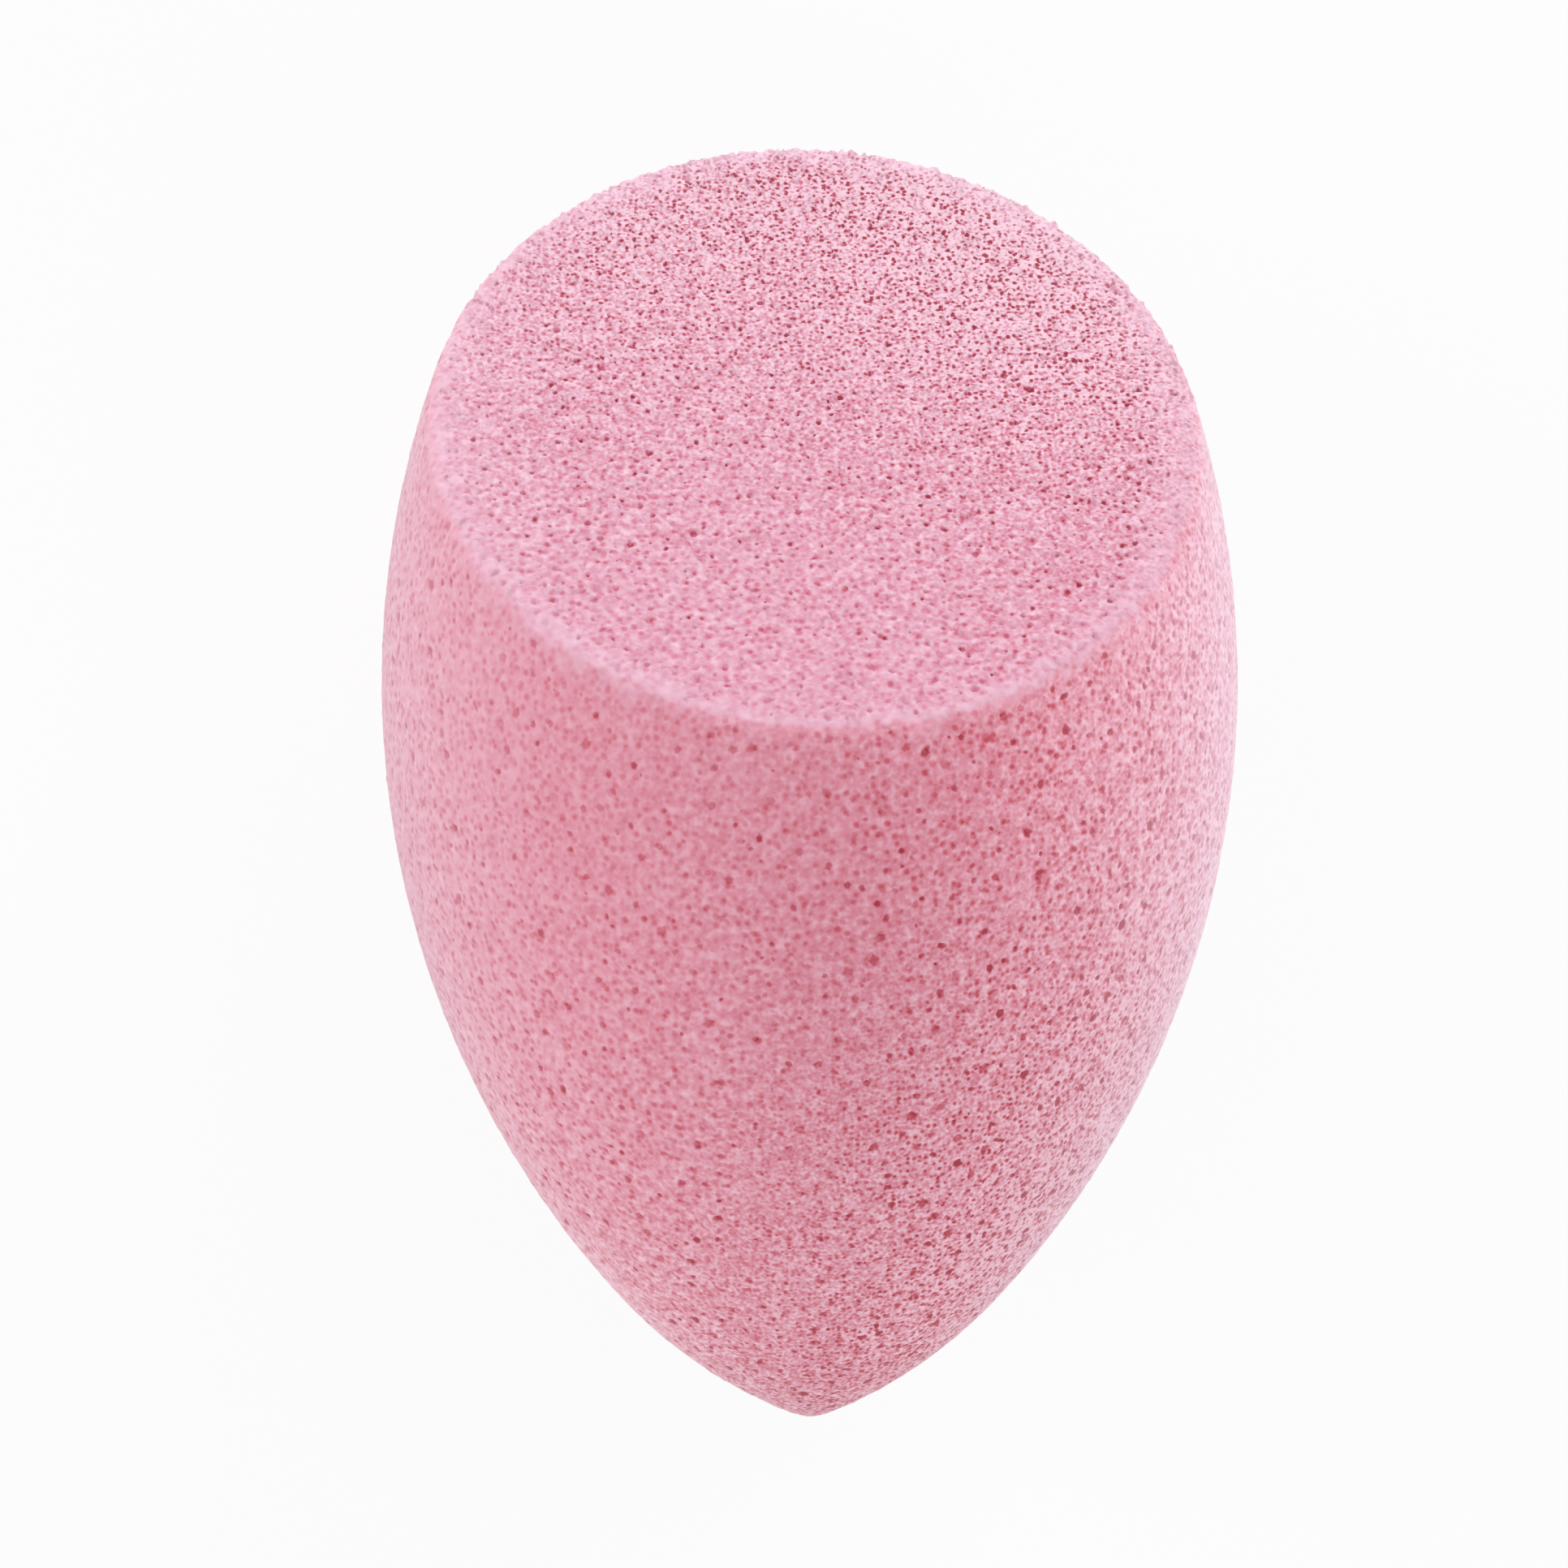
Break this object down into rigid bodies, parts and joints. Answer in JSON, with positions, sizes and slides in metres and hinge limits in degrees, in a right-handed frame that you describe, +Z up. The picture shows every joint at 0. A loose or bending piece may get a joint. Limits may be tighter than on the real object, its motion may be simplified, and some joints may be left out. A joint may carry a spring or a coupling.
{
  "type": "makeup sponge",
  "caption": "Teardrop foam sponge with a slanted flat cut, a blunt tip and soft edges, squeezed in the fingers to blend makeup on the face.",
  "frame": {"origin": "on the table top, under the sponge's centre of mass, where the round back lies", "axes": "+Z up out of the table, -Y towards the blunt tip, +Y towards the cut end, +X across the sponge"},
  "size_m": [0.041, 0.0616, 0.0408],
  "materials": {
    "pink_foam": "matte open-cell polyurethane foam with fine pores, pink"
  },
  "bodies": {
    "root": {"foam_body": "pink_foam"}
  },
  "joints": []
}
